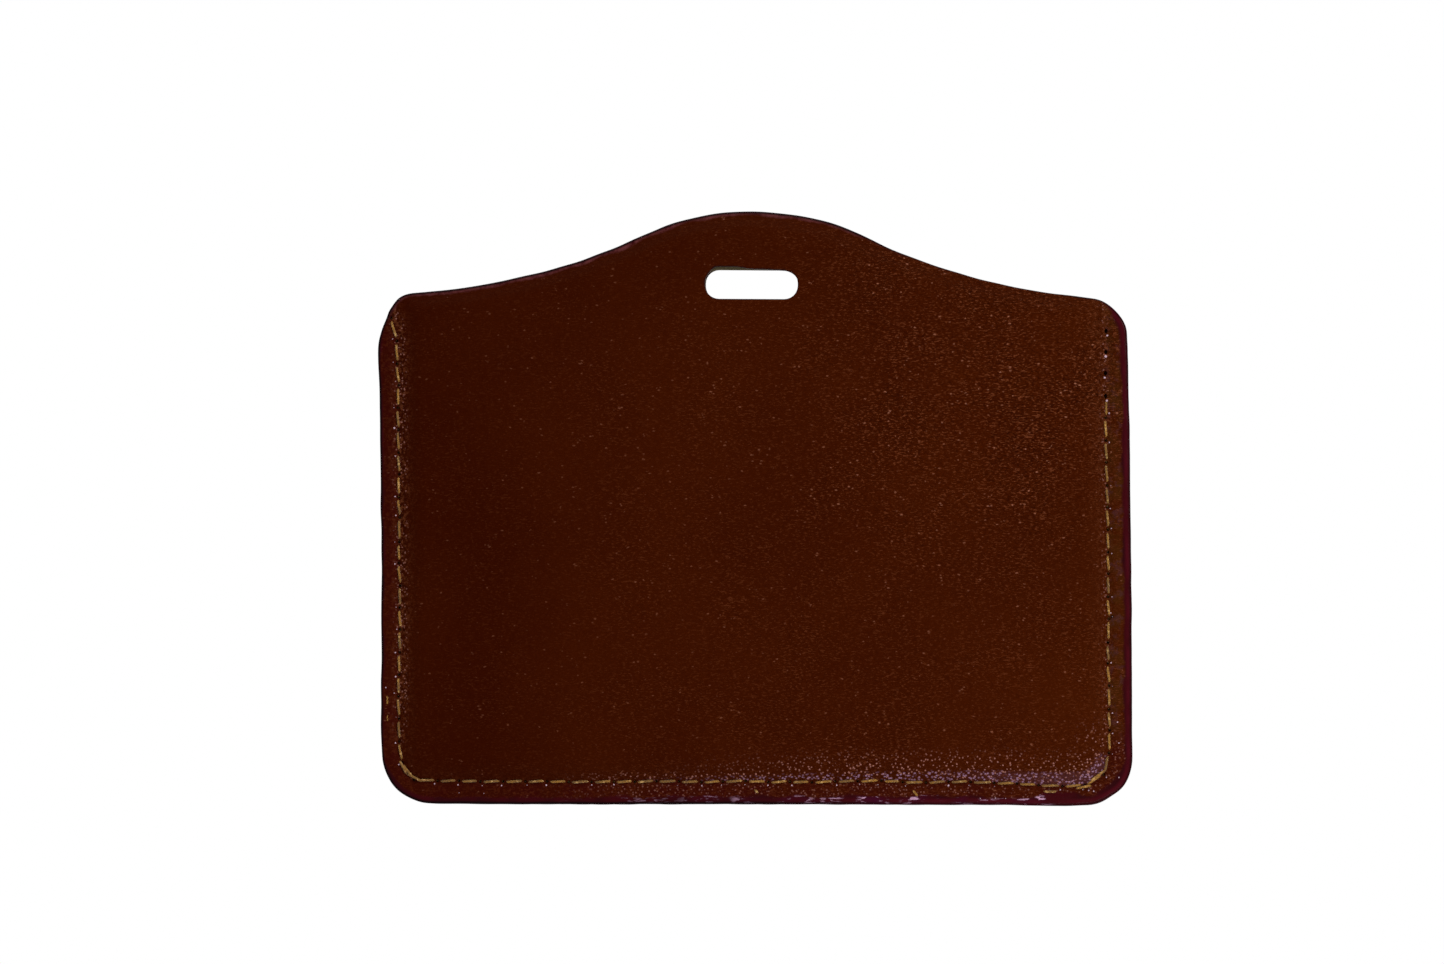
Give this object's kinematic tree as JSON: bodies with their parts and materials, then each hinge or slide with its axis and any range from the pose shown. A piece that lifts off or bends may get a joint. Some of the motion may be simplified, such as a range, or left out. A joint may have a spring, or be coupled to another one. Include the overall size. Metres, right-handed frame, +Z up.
{
  "type": "badge holder",
  "caption": "Horizontal leather badge holder with a humped top, a punched strap slot, a sewn pocket open at the top and a clear window.",
  "frame": {"origin": "centre of the punched strap slot, halfway through the thickness of the hump", "axes": "upright as it hangs: +Z up, +X to the right as seen from the plain leather face, which looks along -Y; the window looks along +Y"},
  "size_m": [0.105, 0.0051, 0.0828],
  "materials": {
    "brown_leather": "glossy fine grain",
    "frame_leather": "glossy fine grain",
    "lining_leather": "satin",
    "fibre_board": "matte",
    "clear_sheet": "clear gloss",
    "white_card": "satin",
    "golden_thread": "satin"
  },
  "bodies": {
    "holder": {"back_panel": "brown_leather", "stiffener_board": "fibre_board", "pocket_lining": "lining_leather", "window_frame": "frame_leather", "window_sheet": "clear_sheet", "seam_thread_first": "golden_thread", "seam_thread_second": "golden_thread"},
    "card": {"blank_card": "white_card"}
  },
  "joints": [
    {"name": "card_slide", "type": "slide", "parent": "holder", "child": "card", "axis": [0, 0, 1], "range_m": [0, 0.063]}
  ]
}
